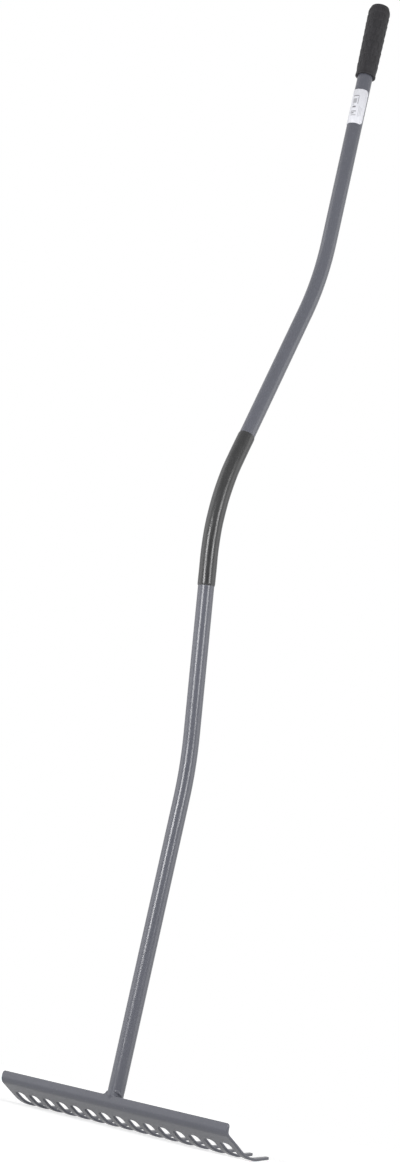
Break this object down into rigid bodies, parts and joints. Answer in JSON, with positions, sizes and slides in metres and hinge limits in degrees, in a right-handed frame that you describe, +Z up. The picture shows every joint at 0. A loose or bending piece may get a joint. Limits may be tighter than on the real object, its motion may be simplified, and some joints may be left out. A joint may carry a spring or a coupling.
{
  "type": "garden rake",
  "caption": "Garden rake: a pressed steel head with curved tapering tines welded to a cranked steel tube, with a hand sleeve at the bend and a rubber end grip.",
  "frame": {"origin": "middle of the end grip, on the shaft's axis, where a hand holds the rake up", "axes": "+Z up along the top straight of the shaft, from head to grip; +Y the way the tines point; X across the head"},
  "size_m": [0.4196, 0.1432, 1.6222],
  "materials": {
    "painted_steel": "satin slate-grey powder coat",
    "sleeve_plastic": "black heat-shrunk sleeve, slight sheen",
    "grip_rubber": "black moulded rubber with raised pads",
    "label_paper": "white coated paper, left blank"
  },
  "bodies": {
    "root": {"rake_head": "painted_steel", "shaft_tube": "painted_steel", "edge_weld": "painted_steel", "foot_weld": "painted_steel", "hand_sleeve": "sleeve_plastic", "end_grip": "grip_rubber", "paper_label": "label_paper"}
  },
  "joints": []
}
